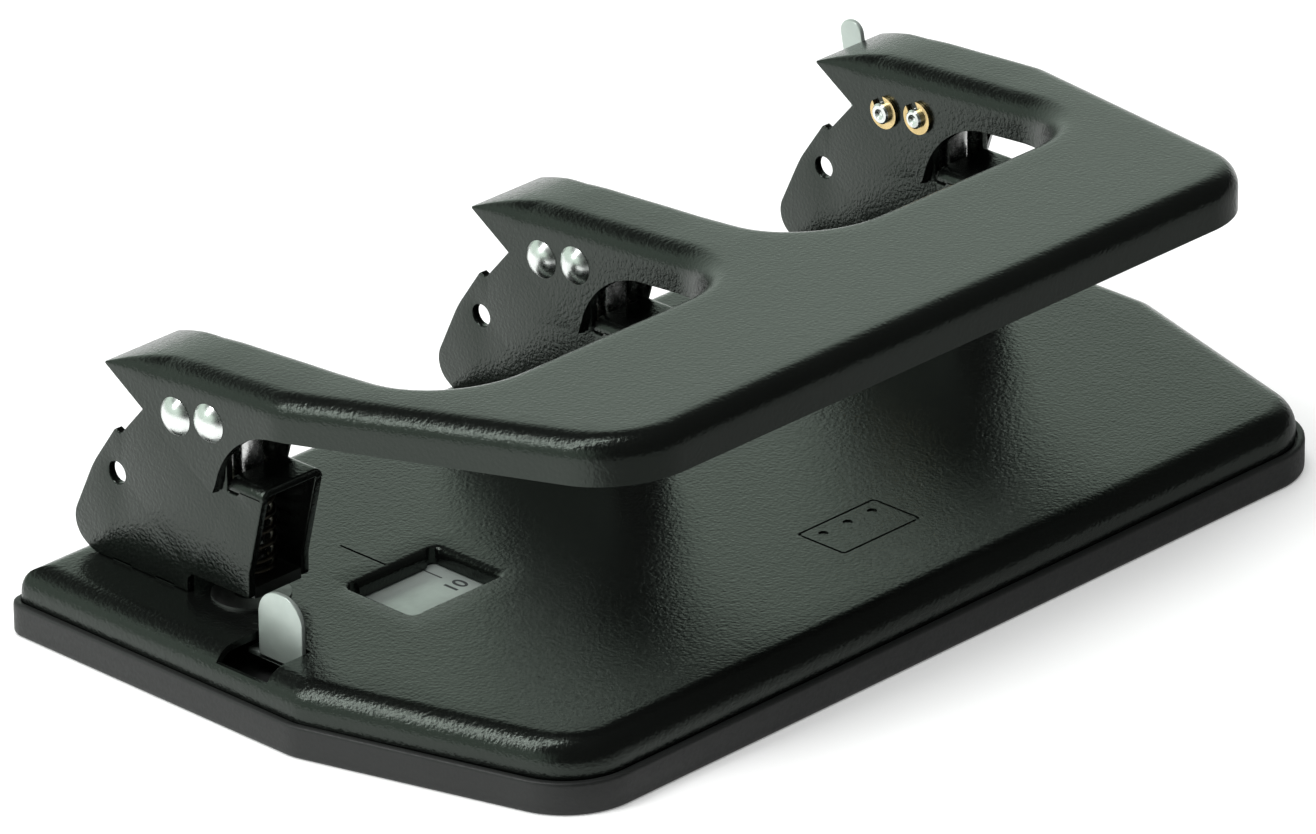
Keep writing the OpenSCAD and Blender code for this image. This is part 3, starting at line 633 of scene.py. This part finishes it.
# ---------------------------------------------------------------- lock lever
# A flat satin lever inside the right head, on a shouldered rivet. It swings
# forward under the pressed handle to hold it down.
lever = [(-3.2, -3.2, 3), (3.2, -3.2, 3), (3.2, 30.2, 3), (-3.2, 30.2, 3)]
lever_parts = plate([lever, hole(0, 0, 4.9)], 113.2, 114.4, 0.3, 0.5, ACROSS)
lean = np.radians(-10.2)
for k, (v, f) in enumerate(lever_parts):
    y, z = v[:, 1].copy(), v[:, 2].copy()
    v[:, 1] = 58.7 + y * np.cos(lean) - z * np.sin(lean)
    v[:, 2] = 36.5 + y * np.sin(lean) + z * np.cos(lean)
piece("hold_down_lever", mesh_of("hold_down_lever", lever_parts), "lock", satin, "satin_nickel", "lock_lever")
rivet = [(1e-4, 111.9), (3.0, 111.9), (3.6, 112.2), (3.6, 112.9), (2.4, 112.9), (2.4, 116.7), (3.6, 116.7),
         (3.6, 117.3), (3.0, 117.7), (1e-4, 117.7)]
piece("lever_rivet", mesh_of("lever_rivet", [turned(rivet, (0, 58.7, 36.5), 1)], 32), "base", bright, "nickel", "lock_rivet")

# ---------------------------------------------------------------- floor, light and camera
# A pale table and a bright cloth behind and to the left; the room in front is dark.
# In reflections the table's front half is painted dark as well. A long strip light
# hangs over the left side, a broad one overhead.
bpy.ops.mesh.primitive_plane_add(size=8)
floor = bpy.context.object
floor.name = "pale_table"
table, tn, tl, tb = new_material("pale_table_top")
speck, tone = tn.new("ShaderNodeTexNoise"), tn.new("ShaderNodeMix")
speck.inputs["Scale"].default_value = 6
tone.data_type = "RGBA"
tone.inputs["A"].default_value = (0.88, 0.88, 0.88, 1)
tone.inputs["B"].default_value = (0.91, 0.91, 0.91, 1)
tl.new(speck.outputs["Fac"], tone.inputs["Factor"])
# painted shade in reflections: glossy rays see the table's front half painted near-black, so the paint reflects a dark
# room there; camera rays see the pale table
where, ahead, edge, path, both, shade = (tn.new("ShaderNode" + k) for k in (
    "TexCoord", "VectorMath", "MapRange", "LightPath", "Math", "Mix"))
ahead.operation = "DOT_PRODUCT"
ahead.inputs[1].default_value = (0.25, -0.97, 0)
edge.inputs["From Min"].default_value, edge.inputs["From Max"].default_value = 0.03, 0.10
both.operation = "MULTIPLY"
shade.data_type = "RGBA"
# the near-black painted onto the table's front half, seen by glossy rays only
shade.inputs["B"].default_value = (0.10, 0.105, 0.10, 1)
tl.new(where.outputs["Object"], ahead.inputs[0])
tl.new(ahead.outputs["Value"], edge.inputs["Value"])
tl.new(edge.outputs["Result"], both.inputs[0])
tl.new(path.outputs["Is Glossy Ray"], both.inputs[1])
tl.new(both.outputs["Value"], shade.inputs["Factor"])
tl.new(tone.outputs["Result"], shade.inputs["A"])
tl.new(shade.outputs["Result"], tb.inputs["Base Color"])
tb.inputs["Roughness"].default_value = 0.8
tb.inputs["Specular IOR Level"].default_value = 0.1
tb.inputs["Emission Color"].default_value = (1, 1, 1, 1)
tb.inputs["Emission Strength"].default_value = 0.22
floor.data.materials.append(table)

world = bpy.data.worlds.new("studio")
bpy.context.scene.world = world
world.use_nodes = True
wn, wl = world.node_tree.nodes, world.node_tree.links
sky, side_on, front_dark, parts_of, ceiling, lit, cloth = (wn.new("ShaderNode" + k) for k in (
    "TexCoord", "VectorMath", "MapRange", "SeparateXYZ", "MapRange", "Math", "Mix"))
side_on.operation = "DOT_PRODUCT"
side_on.inputs[1].default_value = (-0.35, 0.94, 0)
front_dark.inputs["From Min"].default_value, front_dark.inputs["From Max"].default_value = -0.15, 0.25
ceiling.inputs["From Min"].default_value, ceiling.inputs["From Max"].default_value = 0.66, 0.50
lit.operation = "MULTIPLY"
cloth.data_type = "RGBA"
cloth.inputs["A"].default_value = (0.035, 0.038, 0.035, 1)
cloth.inputs["B"].default_value = (0.74, 0.86, 0.765, 1)
wl.new(sky.outputs["Generated"], side_on.inputs[0])
wl.new(side_on.outputs["Value"], front_dark.inputs["Value"])
wl.new(sky.outputs["Generated"], parts_of.inputs["Vector"])
wl.new(parts_of.outputs["Z"], ceiling.inputs["Value"])
wl.new(front_dark.outputs["Result"], lit.inputs[0])
wl.new(ceiling.outputs["Result"], lit.inputs[1])
wl.new(lit.outputs["Value"], cloth.inputs["Factor"])
wl.new(cloth.outputs["Result"], wn["Background"].inputs["Color"])
wn["Background"].inputs["Strength"].default_value = 1.0


def soft_box(name, place, aim, size, watts, in_gloss=True):
    """A rectangular light at place, turned to face aim."""
    lamp = bpy.data.lights.new(name, "AREA")
    lamp.shape, lamp.size, lamp.size_y, lamp.energy = "RECTANGLE", size[0], size[1], watts
    ob = bpy.data.objects.new(name, lamp)
    bpy.context.scene.collection.objects.link(ob)
    ob.location = place
    ob.rotation_euler = (Vector(aim) - Vector(place)).to_track_quat("-Z", "Y").to_euler()
    ob.visible_glossy = in_gloss
    return ob


soft_box("strip_box", (-0.85, 0.35, 1.35), (0, 0, 0.04), (0.3, 1.7), 14)
soft_box("overhead_box", (0.0, 0.1, 1.9), (0, 0, 0), (2.4, 2.4), 40, False)

azimuth, elevation, roll = np.radians(-45.6), np.radians(25.14), np.radians(-0.66)
back = np.array([np.sin(azimuth) * np.cos(elevation), -np.cos(azimuth) * np.cos(elevation), np.sin(elevation)])
level_right = np.array([np.cos(azimuth), np.sin(azimuth), 0])
level_up = np.cross(back, level_right)
right = np.cos(roll) * level_right + np.sin(roll) * level_up
upward = -np.sin(roll) * level_right + np.cos(roll) * level_up
lens = bpy.data.cameras.new("camera")
lens.sensor_width, lens.lens = 36, 36 * 10526.5 / 1316
lens.clip_start, lens.clip_end = 0.1, 30
camera = bpy.data.objects.new("camera", lens)
bpy.context.scene.collection.objects.link(camera)
turn = Matrix(np.column_stack([right, upward, back]).tolist()).to_4x4()
camera.matrix_world = Matrix.Translation((-1.4607, -1.4163, 0.9829)) @ turn
bpy.context.scene.camera = camera
bpy.context.scene.view_settings.view_transform = "Standard"
